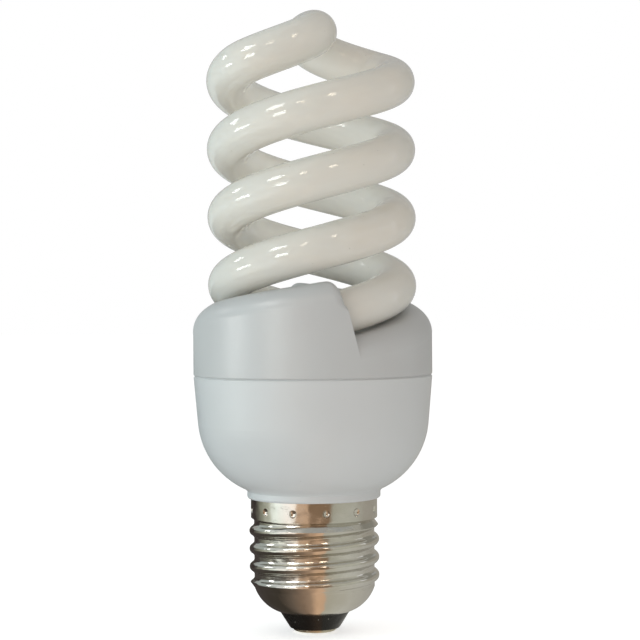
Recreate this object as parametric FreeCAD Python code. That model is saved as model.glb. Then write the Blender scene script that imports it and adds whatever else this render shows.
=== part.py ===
import FreeCAD, Part
import math
import os

# Spiral energy saving lamp with a screw cap, in millimetres.
# The origin is the centre of the contact's bottom face, and +Z runs up the lamp to the top of the spiral.
# Angles are in degrees about Z, from +X towards +Y. The front of the lamp faces -Y.

Vec = FreeCAD.Vector
up = Vec(0, 0, 1)
origin = Vec(0, 0, 0)
half_turn = 180.0
full_turn = 360.0

# Spiral tube: two strands a half turn apart, joined by an S-shaped bridge at the top
tube_radius = 4.38
coil_radius = 16.65
coil_pitch = 27.4
strand_height = 70.2            # height of a strand's centre line where it first passes the lamp's side
strand_end_angle = -115.0       # where the strand ends inside the cover
strand_top_angle = 572.0        # where the strand turns in to the bridge
bridge_handle = 3.5             # the bridge leaves the helix along its tangent over this length
shoulder_in_share = 0.45        # bridge shoulder: place along the strand end's radius
shoulder_forward_share = 0.641  # and ahead of it, both as shares of the coil's radius
shoulder_rise = 4.47
crown_in_share = 0.0354         # bridge crown: the same two shares, close to the axis
crown_forward_share = 0.298
crown_rise = 7.55
seal_length = 2.6               # the glass is drawn in at each sealed end
seal_radius = 2.4
exhaust_tip_radius = 1.1
exhaust_tip_length = 2.5

# Upper cover: a round moulding whose top is two helical ramps with a step wall at each tube end
seam_height = 52.1
cover_radius = 24.15
wall = 1.6
shoulder_radius = 4.5
ramp_gap = 0.35                 # between the ramp and the underside of the tube
ramp_ease_angle = 25.0          # past this angle the ramp climbs less steeply than the tube
eased_pitch = 18.2
step_angle = -73.0              # where the tube goes into the step wall
step_round = 1.9
step_edge_tolerance = 0.02
tube_hole_gap = 0.25
hub_radius = 7.3                # round hub: a boss beside the low ramps and a well in the high ones
hub_top = 66.0
seam_chamfer = 0.28
spigot_gap = 0.1
spigot_wall = 1.3
snap_height = 49.6
snap_reach = 0.35
snap_half_height = 0.7
snap_span = 24.0
snap_count = 4

# Lower housing: a tapered wall, a rounded bowl, a collar and a neck inside the cap
housing_taper_height = 42.2
housing_taper_draw_in = 0.85    # how much narrower than the rim the wall is at this height
housing_taper_radius = cover_radius - housing_taper_draw_in
bowl_mid_height = 34.1
bowl_mid_draw_in = 4.05
bowl_foot_height = 29.2
bowl_foot_flare = 0.45          # the bowl meets the collar this far outside it
collar_overhang = 0.7           # of the collar beyond the cap's band
collar_bottom = 27.3
collar_round = 0.5
neck_bottom = 23.75
neck_gap = 0.05
neck_wall = 1.25
rib_count = 6
rib_width = 1.2
rib_reach = 1.7
rib_foot_height = 38.0

# Circuit board
board_thickness = 1.6
board_top = 47.0
board_bottom = board_top - board_thickness
board_gap = 0.15

# Screw cap
sheet = 0.3
band_radius = 12.8
band_bottom = 23.4
thread_pitch = 3.63
thread_crest_radius = 13.15
thread_root_radius = 12.18
thread_knuckle = 1.025          # radius of the rolled crest and root
thread_phase_height = 11.62     # crest height on the +X side
thread_top = 22.9
thread_bottom = 9.3
thread_fade = 1.3
band_ease_dip = 0.06
bowl_bulge_height = 6.5
bowl_bulge_radius = 10.55
bulge_share_in = 0.75           # how the sheet's thickness splits inwards and upwards where the bowl leans
bulge_share_up = 0.66
lip_height = 4.3
lip_radius = 7.1
lip_share_in = 0.45
lip_share_up = 0.9
dimple_count = 12
dimple_height = 25.2
dimple_ball = 0.9
dimple_depth = 0.5
dimple_first_angle = -79.0
dimple_zone = 1.5               # the dimples' bumps are kept within this depth of the band

# Insulator and contact
insulator_bottom = 0.95
insulator_bottom_radius = 5.0
insulator_plug_top = 6.6
insulator_edge_round = 0.35
contact_radius = 4.4
contact_edge_height = 0.7
contact_face_height = 0.25
contact_face_radius = 3.6
contact_edge_bulge = 0.35
solder_radius = 2.4
solder_base_radius = 3.0
lead_hole_gap = 0.3

# Wires and pins
lead_radius = 0.45
lead_bend = 1.2
short_bend = 0.72
electrode_wire_radius = 0.3
electrode_spread = 1.6
pin_radius = 0.35
pin_proud = 1.0
pin_sink = 0.5                  # leads start this deep inside the part they belong to
pin_hole_gap = 0.1
post_radius = 0.6
post_height = 5.5
post_flange_radius = 1.1
post_flange_height = 0.5
post_line_angle = -131.0
post_offsets = (2.25, -0.75)     # of the posts from the coil's radius
touch = 0.02                    # soldered and wrapped wires lie this close to what they touch

# Parts that hang under the board: plan place of the middle, then size
capacitor_place = (-3.4, -3.0)
capacitor_radius = 5.0
capacitor_length = 19.6
capacitor_rim = 0.6
capacitor_groove_drop = 2.0
capacitor_groove_height = 0.8
capacitor_groove_depth = 0.4
choke_place = (9.0, 3.5)
choke_size = (12.0, 13.0, 10.6)
choke_leg = 3.2
choke_yoke = 2.4
choke_window_gap = 0.15
choke_outer_leg = 1.8
choke_core_depth = 4.6
bobbin_wall = 0.7
winding_depth = 1.3
toroid_place = (-11.2, 9.2)
toroid_outer_radius = 4.4
toroid_inner_radius = 2.3
toroid_width = 3.0
toroid_winding_depth = 0.6
toroid_winding_span = 52.0
transistor_size = (7.8, 2.8, 9.4)
transistor_leg = 1.2
transistor_leg_pitch = 2.3
transistor_hole_radius = 1.6
transistor_hole_height = 2.4
transistor_chamfer = 0.4
transistor_places = ((-14.9, -3.4, 90.0), (-5.6, -13.2, 0.0))
film_cap_round = 1.2
film_lead_inset = 1.25
resonant_place = (7.0, -11.0)
resonant_size = (10.0, 5.0, 9.0)
coupling_place = (4.0, 14.2)
coupling_size = (9.0, 4.4, 8.0)
timing_place = (-3.6, 8.6)
timing_radius = 3.0
timing_width = 2.4
timing_round = 0.7
timing_drop = 0.4
timing_lead_pitch = 3.9
input_choke_place = (15.0, -6.7)
input_choke_radius = 3.1
input_choke_waist = 2.75
input_choke_length = 7.6
input_choke_flange = 0.9
input_choke_lead_pitch = 3.4

# Parts that lie on top of the board
row_count = 4
diode_radius = 1.3
diode_length = 5.0
diode_spacing = 4.2
diode_row_place = (-8.5, -8.0)
resistor_radius = 1.1
resistor_length = 6.0
resistor_spacing = 4.0
resistor_row_place = (-11.6, 4.5)
diac_place = (9.6, 5.0)
diac_radius = 0.95
diac_length = 3.6
axial_lead_radius = 0.3
axial_lead_reach = 1.4
axial_lead_bend = 0.85
axial_lift = 0.35

# Line from the contact to the board
fuse_place = (5.2, 2.6)
fuse_radius = 1.7
fuse_length = 8.5
fuse_bottom = 14.0
fuse_lead_place = (1.9, 4.4)
lead_shift_height = 30.0
lead_shift_run = 4.0
live_shift_drop = 5.0           # the live wire leans over to the resistor from this far below it
live_straight = 1.5
neutral_angle = 150.0
neutral_turns_up = 1.5          # the neutral wire is soldered in a root of the thread, this many turns up
neutral_inset = 2.6


def at_angle(radius, angle, height):
    turn = math.radians(angle)
    return Vec(radius * math.cos(turn), radius * math.sin(turn), height)


def turned(shape, angle):
    copy = shape.copy()
    copy.rotate(origin, up, angle)
    return copy


def strand_z(angle):
    return strand_height + coil_pitch * angle / full_turn


def strand_tangent(angle):
    turn = math.radians(angle)
    rise = coil_pitch / (2 * math.pi)
    along = Vec(-coil_radius * math.sin(turn), coil_radius * math.cos(turn), rise)
    along.normalize()
    return along


def helix_edge(radius, pitch, start_angle, end_angle, start_height):
    height = pitch * (end_angle - start_angle) / full_turn
    helix = Part.makeHelix(pitch, height, radius)
    helix.rotate(origin, up, start_angle)
    helix.translate(Vec(0, 0, start_height))
    return helix


def strand_wire(start_angle, end_angle):
    return helix_edge(coil_radius, coil_pitch, start_angle, end_angle, strand_z(start_angle))


def sweep_circle(path, radius, start, direction):
    ring = Part.Wire(Part.makeCircle(radius, start, direction))
    return path.makePipeShell([ring], True, False)


def strand_tube(radius, start_angle, end_angle):
    start = at_angle(coil_radius, start_angle, strand_z(start_angle))
    return sweep_circle(strand_wire(start_angle, end_angle), radius, start, strand_tangent(start_angle))


def box_between(low, high):
    size = high - low
    return Part.makeBox(size.x, size.y, size.z, low)


def revolve_outline(edges):
    face = Part.Face(Part.Wire(edges))
    return face.revolve(origin, up, full_turn)


def line(start, end):
    return Part.LineSegment(start, end).toShape()


def arc(start, middle, end):
    return Part.Arc(start, middle, end).toShape()


def rz(radius, height):
    return Vec(radius, 0, height)


def closed_outline(points):
    return [line(a, b) for a, b in zip(points, points[1:] + points[:1])]


def bent_path(points, bend):
    # Straight runs joined by arcs that are tangent to both
    edges = []
    start = points[0]
    for before, corner, after in zip(points, points[1:], points[2:]):
        into = (corner - before).normalize()
        out = (after - corner).normalize()
        turn = into.getAngle(out)
        cut_back = bend * math.tan(turn / 2)
        enter = corner - into * cut_back
        leave = corner + out * cut_back
        inward = (out - into).normalize()
        to_centre = bend / math.cos(turn / 2)
        middle = corner + inward * (to_centre - bend)
        edges.append(line(start, enter))
        edges.append(arc(enter, middle, leave))
        start = leave
    edges.append(line(start, points[-1]))
    return Part.Wire(edges)


def bent_wire(points, radius, bend):
    direction = points[1] - points[0]
    return sweep_circle(bent_path(points, bend), radius, points[0], direction)


def main_solid(shape):
    # The piece itself, without crumbs that a cut leaves where two faces just touch
    return max(shape.Solids, key=lambda solid: solid.Volume)


def fused(shapes):
    return main_solid(shapes[0].multiFuse(shapes[1:]))


# Spiral tube

def bridge_edge():
    end_angle = strand_top_angle
    radial = at_angle(1, end_angle, 0)
    forward = at_angle(1, end_angle + 90, 0)
    helix_end = at_angle(coil_radius, end_angle, strand_z(end_angle))
    lead_in = helix_end + strand_tangent(end_angle) * bridge_handle
    shoulder_plan = (radial * shoulder_in_share + forward * shoulder_forward_share) * coil_radius
    shoulder = shoulder_plan + Vec(0, 0, helix_end.z + shoulder_rise)
    crown_plan = (radial * crown_in_share + forward * crown_forward_share) * coil_radius
    crown = crown_plan + Vec(0, 0, helix_end.z + crown_rise)
    half = [helix_end, lead_in, shoulder, crown]
    other_half = [Vec(-p.x, -p.y, p.z) for p in reversed(half)]
    poles = half + other_half
    degree = 3
    spans = len(poles) - degree
    knots = [i / spans for i in range(spans + 1)]
    counts = [degree + 1] + [1] * (spans - 1) + [degree + 1]
    curve = Part.BSplineCurve()
    curve.buildFromPolesMultsKnots(poles, counts, knots, False, degree)
    return curve.toShape()


def make_spiral_tube():
    strand = strand_wire(strand_end_angle, strand_top_angle)
    edges = strand.Edges + [bridge_edge()] + turned(strand, half_turn).Edges
    path = Part.Wire(Part.__sortEdges__(edges))
    start = path.OrderedVertexes[0].Point
    first = path.OrderedEdges[0]
    glass = sweep_circle(path, tube_radius, start, first.tangentAt(first.FirstParameter))
    end = at_angle(coil_radius, strand_end_angle, strand_z(strand_end_angle))
    outward = strand_tangent(strand_end_angle) * -1
    seal = Part.makeCone(tube_radius, seal_radius, seal_length, end, outward)
    seal_end = end + outward * seal_length
    tip = Part.makeCylinder(exhaust_tip_radius, exhaust_tip_length, seal_end, outward)
    return fused([glass, seal, turned(seal, half_turn), tip])


# Upper cover

def ramp_top(angle):
    # Height of the steep part, which keeps its distance under the tube
    underside = tube_radius / math.cos(math.atan2(coil_pitch, 2 * math.pi * coil_radius))
    return strand_z(angle) - underside - ramp_gap


def eased_top(angle):
    return ramp_top(ramp_ease_angle) + eased_pitch * (angle - ramp_ease_angle) / full_turn


def ramp_cutter(inset, pitch, start_angle, end_angle, start_top):
    # Everything above the ramp and outside its rounded shoulder, over one stretch of the turn
    inner_radius = 3.0
    clear_above = 24.0
    clear_outside = 2.5
    past = 0.12
    leave_angle = math.radians(6)
    outer = cover_radius - inset
    round_radius = shoulder_radius - inset
    top = start_top - inset
    centre = rz(outer - round_radius, top - round_radius)
    diagonal = (math.pi / 2 + leave_angle) / 2
    middle = centre + rz(round_radius * math.cos(diagonal), round_radius * math.sin(diagonal))
    leave = centre + rz(round_radius * math.cos(leave_angle), round_radius * math.sin(leave_angle))
    below = leave + rz(past, -past / math.tan(leave_angle))
    inner_low = rz(inner_radius, top)
    round_start = rz(outer - round_radius, top)
    outer_low = rz(outer + clear_outside, below.z)
    outer_high = rz(outer + clear_outside, top + clear_above)
    inner_high = rz(inner_radius, top + clear_above)
    edges = [line(inner_low, round_start), arc(round_start, middle, leave)]
    edges += [line(leave, below), line(below, outer_low), line(outer_low, outer_high)]
    edges += [line(outer_high, inner_high), line(inner_high, inner_low)]
    profile = turned(Part.Wire(edges), start_angle)
    spine = helix_edge(outer, pitch, start_angle, end_angle, top)
    return spine.makePipeShell([profile], True, True)


def behind_step(setback):
    # A block that fills the space behind the slanted plane of the step wall
    along = strand_tangent(step_angle)
    middle = at_angle(coil_radius, step_angle, strand_z(step_angle))
    reach = 60.0
    block = Part.makeBox(reach, reach, reach, Vec(-reach / 2, -reach / 2, -reach))
    turn = FreeCAD.Rotation(up, along)
    block.Placement = FreeCAD.Placement(middle - along * setback, turn).multiply(block.Placement)
    return block


def cylinder_between(radius, bottom, top):
    return Part.makeCylinder(radius, top - bottom, Vec(0, 0, bottom))


def ring_between(inner, outer, bottom, top):
    return cylinder_between(outer, bottom, top).cut(cylinder_between(inner, bottom, top))


def ramped_ring(inset, bore, bottom):
    ceiling = 80.0
    overrun = 14.0
    overlap = 10.0
    step_opposite = step_angle + half_turn
    steep_start = step_angle - overrun
    eased_start = ramp_ease_angle - overlap
    body = ring_between(bore, cover_radius - inset, bottom, ceiling)
    steep = ramp_cutter(inset, coil_pitch, steep_start, ramp_ease_angle, ramp_top(steep_start))
    steep = main_solid(steep.cut(behind_step(inset)))
    eased = ramp_cutter(inset, eased_pitch, eased_start, step_opposite + overrun, eased_top(eased_start))
    for cutter in (steep, eased, turned(steep, half_turn), turned(eased, half_turn)):
        body = body.cut(cutter)
    return main_solid(body)


def step_edges(form):
    # The upper edges of both step walls, in the high ramp's top and shoulder
    along = strand_tangent(step_angle)
    middle = at_angle(coil_radius, step_angle, strand_z(step_angle))
    found = []
    for edge in form.Edges:
        for angle in (0, half_turn):
            points = turned(edge, angle).discretize(5)
            in_wall = all(abs((point - middle).dot(along)) < step_edge_tolerance for point in points)
            if in_wall and min(point.z for point in points) > hub_top + 1:
                found.append(edge)
    return found


def seam_bevel(side):
    # The V of the seam: half is cut from the cover, side 1, and half from the housing, side -1
    beyond = 1.0
    outside = cover_radius + beyond
    points = [
        rz(cover_radius - seam_chamfer, seam_height),
        rz(outside, seam_height),
        rz(outside, seam_height + side * (beyond + seam_chamfer)),
        rz(cover_radius, seam_height + side * seam_chamfer),
    ]
    return revolve_outline(closed_outline(points))


def snap_bead(gap):
    # A low ridge on the spigot; the housing's groove is the same ridge with a gap all round
    root = cover_radius - wall - spigot_gap
    sink = 0.2
    half_height = snap_half_height + gap
    points = [
        rz(root - sink, snap_height - half_height),
        rz(root, snap_height - half_height),
        rz(root + snap_reach + gap, snap_height),
        rz(root, snap_height + half_height),
        rz(root - sink, snap_height + half_height),
    ]
    return Part.Face(Part.Wire(closed_outline(points)))


def make_cover_inside():
    below_seam = seam_height - 1
    ramp_floor = ramp_top(step_angle) - shoulder_radius
    inside = ramped_ring(wall, hub_radius + wall, below_seam)
    inside = inside.fuse(cylinder_between(hub_radius - wall, below_seam, hub_top - wall))
    return inside.fuse(cylinder_between(hub_radius + 2 * wall, below_seam, ramp_floor))


def make_upper_cover(inside):
    outer = ramped_ring(0, hub_radius, seam_height)
    outer = main_solid(outer.fuse(cylinder_between(hub_radius, seam_height, hub_top)))
    outer = outer.makeFillet(step_round, step_edges(outer))
    cover = main_solid(outer.cut(inside))
    hole_behind = 30.0
    hole_ahead = 12.0
    for angle in (0, half_turn):
        hole = strand_tube(tube_radius + tube_hole_gap, step_angle - hole_behind, step_angle + hole_ahead)
        cover = cover.cut(turned(hole, angle))
    cover = cover.cut(seam_bevel(1))
    spigot_outer = cover_radius - wall - spigot_gap
    spigot_inner = spigot_outer - spigot_wall
    root_top = seam_height + 2.0
    spigot = ring_between(spigot_inner, spigot_outer, board_top, root_top)
    root = ring_between(spigot_inner, cover_radius - wall / 2, seam_height, root_top)
    cover = cover.fuse(spigot).fuse(root)
    bead = snap_bead(0)
    for i in range(snap_count):
        angle = full_turn * i / snap_count + (full_turn / snap_count - snap_span) / 2
        cover = cover.fuse(turned(bead.revolve(origin, up, snap_span), angle))
    return main_solid(cover)


# Lower housing

def board_rib(bowl):
    # An upright rib whose back is sunk into the wall and whose top carries the board's rim
    in_wall = wall * 0.6
    foot_drop = bowl.Center.z - rib_foot_height
    foot_radius = bowl.Center.x + math.sqrt(bowl.Radius ** 2 - foot_drop ** 2) - in_wall
    wall_slope = (cover_radius - housing_taper_radius) / (seam_height - housing_taper_height)
    top_radius = cover_radius - wall_slope * (seam_height - board_bottom) - in_wall
    face_radius = cover_radius - wall - rib_reach
    points = [
        rz(face_radius, rib_foot_height),
        rz(foot_radius, rib_foot_height),
        rz(top_radius, board_bottom),
        rz(face_radius, board_bottom),
    ]
    face = Part.Face(Part.Wire(closed_outline(points)))
    return face.extrude(Vec(0, rib_width, 0)).translate(Vec(0, -rib_width / 2, 0))


def make_lower_housing():
    rim = rz(cover_radius, seam_height)
    taper_end = rz(housing_taper_radius, housing_taper_height)
    collar_radius = band_radius + collar_overhang
    bowl_mid = rz(cover_radius - bowl_mid_draw_in, bowl_mid_height)
    bowl_foot = rz(collar_radius + bowl_foot_flare, bowl_foot_height)
    bowl = Part.Arc(taper_end, bowl_mid, bowl_foot).toShape().Curve
    thinner = (bowl.Radius - wall) / bowl.Radius
    outer_points = (taper_end, bowl_mid, bowl_foot)
    inner_points = [bowl.Center + (point - bowl.Center) * thinner for point in outer_points]
    inner_rim = rz(cover_radius - wall, seam_height)
    neck_radius = band_radius - sheet - neck_gap
    bore = neck_radius - neck_wall
    seat_radius = cover_radius - wall
    collar_top = rz(collar_radius, bowl_foot.z - bowl_foot_flare)
    collar_low = rz(collar_radius, collar_bottom + collar_round)
    collar_foot = rz(collar_radius - collar_round, collar_bottom)
    round_mid = collar_round * (1 - math.cos(math.pi / 4))
    collar_corner = rz(collar_radius - round_mid, collar_bottom + round_mid)
    neck_top = rz(neck_radius, collar_bottom)
    neck_end = rz(neck_radius, neck_bottom)
    bore_end = rz(bore, neck_bottom)
    bore_top = rz(bore, inner_points[2].z)
    edges = [line(rim, taper_end), arc(taper_end, bowl_mid, bowl_foot), line(bowl_foot, collar_top)]
    edges += [line(collar_top, collar_low), arc(collar_low, collar_corner, collar_foot)]
    edges += [line(collar_foot, neck_top), line(neck_top, neck_end), line(neck_end, bore_end)]
    edges += [line(bore_end, bore_top), line(bore_top, inner_points[2])]
    edges += [arc(inner_points[2], inner_points[1], inner_points[0]), line(inner_points[0], inner_rim)]
    edges += [line(inner_rim, rim)]
    housing = revolve_outline(edges)
    housing = housing.cut(seam_bevel(-1))
    housing = housing.cut(cylinder_between(seat_radius, board_bottom, seam_height + 1))
    housing = housing.cut(snap_bead(spigot_gap).revolve(origin, up, full_turn))
    for i in range(rib_count):
        housing = housing.fuse(turned(board_rib(bowl), full_turn * (i + 0.5) / rib_count))
    for pocket in dimple_balls(dimple_ball + sheet + neck_gap):
        housing = housing.cut(pocket)
    return main_solid(housing)


# Screw cap

def dimple_balls(radius):
    out = band_radius + dimple_ball - dimple_depth
    step = full_turn / dimple_count
    places = [at_angle(out, dimple_first_angle + step * i, dimple_height) for i in range(dimple_count)]
    return [Part.makeSphere(radius, place) for place in places]


def thread_ridge(inset):
    # One rolled ridge of the thread: a round crest that runs into a round root on each side
    crest_arc = thread_knuckle - inset
    root_arc = thread_knuckle + inset
    crest_centre = rz(thread_crest_radius - thread_knuckle, 0)
    centres_apart = crest_arc + root_arc
    root_centre = rz(thread_crest_radius, math.sqrt(centres_apart ** 2 - thread_knuckle ** 2))
    core = thread_root_radius - inset
    sink = 0.3
    below_root = 0.05
    lead_in = 0.2
    run_out = 1.6
    start_radius = core - below_root
    dip = root_centre.x - start_radius
    start = rz(start_radius, root_centre.z - math.sqrt(root_arc ** 2 - dip ** 2))
    meet = crest_centre + (root_centre - crest_centre) * (crest_arc / centres_apart)
    chord_middle = (start + meet) * 0.5
    root_middle = root_centre + (chord_middle - root_centre).normalize() * root_arc
    crest = rz(crest_centre.x + crest_arc, 0)
    low_meet, low_middle, low_start = [rz(point.x, -point.z) for point in (meet, root_middle, start)]
    inner_top = rz(start_radius - sink, start.z)
    inner_low = rz(start_radius - sink, -start.z)
    edges = [line(inner_top, start), arc(start, root_middle, meet), arc(meet, crest, low_meet)]
    edges += [arc(low_meet, low_middle, low_start), line(low_start, inner_low), line(inner_low, inner_top)]
    first_turn = math.floor((thread_bottom - thread_phase_height) / thread_pitch) - lead_in
    turns = (thread_top - thread_bottom) / thread_pitch + run_out
    start_angle = first_turn * full_turn
    start_height = thread_phase_height + first_turn * thread_pitch
    profile = Part.Wire(edges)
    profile.translate(Vec(0, 0, start_height))
    profile = turned(profile, start_angle)
    end_angle = start_angle + turns * full_turn
    spine = helix_edge(thread_root_radius, thread_pitch, start_angle, end_angle, start_height)
    ridge = spine.makePipeShell([profile], True, True)
    crest_out = thread_crest_radius + 1
    fade_out = thread_fade * (crest_out - core) / (thread_crest_radius - thread_root_radius)
    envelope = revolve_outline(closed_outline([
        rz(core - 2 * sink, thread_bottom),
        rz(core, thread_bottom),
        rz(crest_out, thread_bottom + fade_out),
        rz(crest_out, thread_top - fade_out),
        rz(core, thread_top),
        rz(core - 2 * sink, thread_top),
    ]))
    return ridge.common(envelope)


def shell_body(inset):
    # The shell's outer form, or the space inside it, from the rim down to the lip
    band = band_radius - inset
    root = thread_root_radius - inset
    top = collar_bottom + (1 if inset else 0)
    ease = (band_bottom - thread_top) / 2
    rim = rz(band, top)
    band_end = rz(band, band_bottom)
    band_mid = rz((band + root) / 2 - band_ease_dip, band_bottom - ease)
    root_start = rz(root, thread_top)
    bowl_start = rz(root, thread_bottom - inset / 3)
    bulge = rz(bowl_bulge_radius - bulge_share_in * inset, bowl_bulge_height + bulge_share_up * inset)
    lip = rz(lip_radius - lip_share_in * inset, lip_height + lip_share_up * inset)
    edges = [line(rim, band_end), arc(band_end, band_mid, root_start), line(root_start, bowl_start)]
    edges += [arc(bowl_start, bulge, lip)]
    if inset:
        mouth = rz(lip.x, lip_height - 1)
        edges.append(line(lip, mouth))
        lip = mouth
    edges += [line(lip, rz(0, lip.z)), line(rz(0, lip.z), rz(0, top)), line(rz(0, top), rim)]
    body = revolve_outline(edges)
    return body.fuse(thread_ridge(inset))


def make_cap_shell():
    shell = shell_body(0)
    inside = shell_body(sheet)
    shell = main_solid(shell.cut(inside))
    band = ring_between(band_radius - dimple_zone, band_radius - sheet / 2, band_bottom, collar_bottom)
    for bump, ball in zip(dimple_balls(dimple_ball + sheet), dimple_balls(dimple_ball)):
        shell = shell.fuse(bump.common(band)).cut(ball)
    return main_solid(shell), inside


def make_cap_insulator(shell_inside):
    plug = shell_inside.common(cylinder_between(band_radius, lip_height, insulator_plug_top))
    cone_height = lip_height - insulator_bottom
    cone = Part.makeCone(insulator_bottom_radius, lip_radius, cone_height, Vec(0, 0, insulator_bottom))
    lower_edges = [edge for edge in cone.Edges if edge.BoundBox.ZMax < insulator_bottom + 0.1]
    cone = cone.makeFillet(insulator_edge_round, lower_edges)
    hole = cylinder_between(lead_radius + lead_hole_gap, 0, insulator_plug_top + 1)
    return main_solid(plug.fuse(cone).cut(hole))


def make_centre_contact():
    hole_radius = lead_radius + lead_hole_gap
    edge_top = rz(contact_radius, insulator_bottom)
    edge_low = rz(contact_radius, contact_edge_height)
    face_edge = rz(contact_face_radius, contact_face_height)
    drop = (edge_low.z - face_edge.z) * contact_edge_bulge
    edge_middle = rz((contact_radius + contact_face_radius) / 2 + drop, face_edge.z + drop)
    face_in = rz(hole_radius, contact_face_height)
    top_in = rz(hole_radius, insulator_bottom)
    edges = [line(edge_top, edge_low), arc(edge_low, edge_middle, face_edge), line(face_edge, face_in)]
    edges += [line(face_in, top_in), line(top_in, edge_top)]
    return revolve_outline(edges)


def make_contact_solder():
    return Part.makeCone(solder_radius, solder_base_radius, contact_face_height)


# Circuit board and what it carries

board_holes = []


def through_board(x, y, radius):
    board_holes.append((x, y, radius + pin_hole_gap))


def pin(x, y, from_height):
    through_board(x, y, pin_radius)
    return cylinder_between(pin_radius, from_height, board_top + pin_proud).translate(Vec(x, y, 0))


def pin_pair(place, pitch, sink=pin_sink):
    return [pin(place[0] + side * pitch / 2, place[1], board_bottom - sink) for side in (-1, 1)]


def placed_box(place, size, top):
    low = Vec(place[0] - size[0] / 2, place[1] - size[1] / 2, top - size[2])
    return Part.makeBox(size[0], size[1], size[2], low)


def make_smoothing_capacitor():
    x, y = capacitor_place
    low = board_bottom - capacitor_length
    can = cylinder_between(capacitor_radius, low, board_bottom)
    can = can.makeFillet(capacitor_rim, [edge for edge in can.Edges if edge.BoundBox.ZMax < low + 0.1])
    groove_low = board_bottom - capacitor_groove_drop
    groove_high = groove_low + capacitor_groove_height
    waist = capacitor_radius - capacitor_groove_depth
    can = can.cut(ring_between(waist, capacitor_radius + 1, groove_low, groove_high))
    can = can.translate(Vec(x, y, 0))
    return fused([can] + pin_pair(capacitor_place, capacitor_radius))


def make_choke():
    width, length, height = choke_size
    middle = Vec(choke_place[0], choke_place[1], board_bottom - height / 2)
    half_leg = choke_leg / 2
    half_depth = choke_core_depth / 2
    window_out = width / 2 - choke_outer_leg
    window_length = length / 2 - choke_yoke
    core = box_between(Vec(-width / 2, -length / 2, -half_depth), Vec(width / 2, length / 2, half_depth))
    for side in (-1, 1):
        near = side * half_leg
        far = side * window_out
        window_low = Vec(min(near, far), -window_length, -half_depth - 1)
        window_high = Vec(max(near, far), window_length, half_depth + 1)
        core = core.cut(box_between(window_low, window_high))

    tube_in = Vec(half_leg + choke_window_gap, window_length, half_depth + choke_window_gap)
    tube_out = tube_in + Vec(bobbin_wall, -choke_window_gap, bobbin_wall)
    flange = Vec(window_out - choke_window_gap, tube_out.y, height / 2)
    hollow = box_between(tube_in * -1, tube_in)
    flanges = box_between(flange * -1, flange)
    wound = Vec(width, tube_out.y - bobbin_wall, height)
    spool = flanges.cut(box_between(wound * -1, wound))
    spool = spool.fuse(box_between(tube_out * -1, tube_out))
    spool = main_solid(spool.cut(hollow))

    winding_out = Vec(tube_out.x + winding_depth, wound.y, tube_out.z + winding_depth)
    winding = box_between(winding_out * -1, winding_out)
    long_edges = [e for e in winding.Edges if abs(e.tangentAt(e.FirstParameter).y) > 0.9]
    winding = winding.makeFillet(winding_depth * 0.8, long_edges)
    through = Vec(tube_out.x, length, tube_out.z)
    winding = winding.cut(box_between(through * -1, through))

    core, spool, winding = [piece.translate(middle) for piece in (core, spool, winding)]
    pins = []
    for side_x in (-1, 1):
        for side_y in (-1, 1):
            x = middle.x + side_x * (half_leg + bobbin_wall)
            y = middle.y + side_y * (flange.y - bobbin_wall / 2)
            pins.append(pin(x, y, board_bottom - pin_sink))
    return main_solid(core), fused([spool] + pins), main_solid(winding)


def make_toroid():
    depth = toroid_winding_depth
    middle = Vec(toroid_place[0], toroid_place[1], board_bottom - toroid_outer_radius - depth)
    half_width = toroid_width / 2

    def section(grow):
        points = [
            rz(toroid_inner_radius - grow, -half_width - grow),
            rz(toroid_outer_radius + grow, -half_width - grow),
            rz(toroid_outer_radius + grow, half_width + grow),
            rz(toroid_inner_radius - grow, half_width + grow),
        ]
        return Part.Face(Part.Wire(closed_outline(points)))

    core = section(0).revolve(origin, up, full_turn)
    sleeve = main_solid(section(depth).revolve(origin, up, toroid_winding_span).cut(core))
    pieces = [core] + [turned(sleeve, full_turn * i / 3 - toroid_winding_span / 2) for i in range(3)]
    standing = FreeCAD.Placement(middle, FreeCAD.Rotation(up, Vec(1, 0, 0)))
    for piece in pieces:
        piece.Placement = standing.multiply(piece.Placement)
    return pieces


def make_transistor(place):
    x, y, angle = place
    width, thickness, height = transistor_size
    body_top = board_bottom - transistor_leg
    body = placed_box((0, 0), transistor_size, body_top)
    upright = [e for e in body.Edges if abs(e.tangentAt(e.FirstParameter).z) > 0.9]
    body = body.makeChamfer(transistor_chamfer, upright)
    hole_start = Vec(0, -thickness, body_top - height + transistor_hole_height)
    hole = Part.makeCylinder(transistor_hole_radius, 2 * thickness, hole_start, Vec(0, 1, 0))
    body = turned(body.cut(hole), angle).translate(Vec(x, y, 0))
    legs = []
    for i in (-1, 0, 1):
        spot = at_angle(i * transistor_leg_pitch, angle, 0)
        legs.append(pin(x + spot.x, y + spot.y, body_top - pin_sink))
    return fused([body] + legs)


def make_film_capacitor(place, size):
    body = placed_box(place, size, board_bottom)
    upright = [e for e in body.Edges if abs(e.tangentAt(e.FirstParameter).z) > 0.9]
    body = body.makeFillet(film_cap_round, upright)
    return fused([body] + pin_pair(place, size[0] - 2 * film_lead_inset))


def make_timing_capacitor():
    x, y = timing_place
    middle = Vec(x, y - timing_width / 2, board_bottom - timing_radius - timing_drop)
    disc = Part.makeCylinder(timing_radius, timing_width, middle, Vec(0, 1, 0))
    disc = disc.makeFillet(timing_round, disc.Edges[0:1] + disc.Edges[2:3])
    return fused([disc] + pin_pair(timing_place, timing_lead_pitch, timing_radius))


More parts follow.
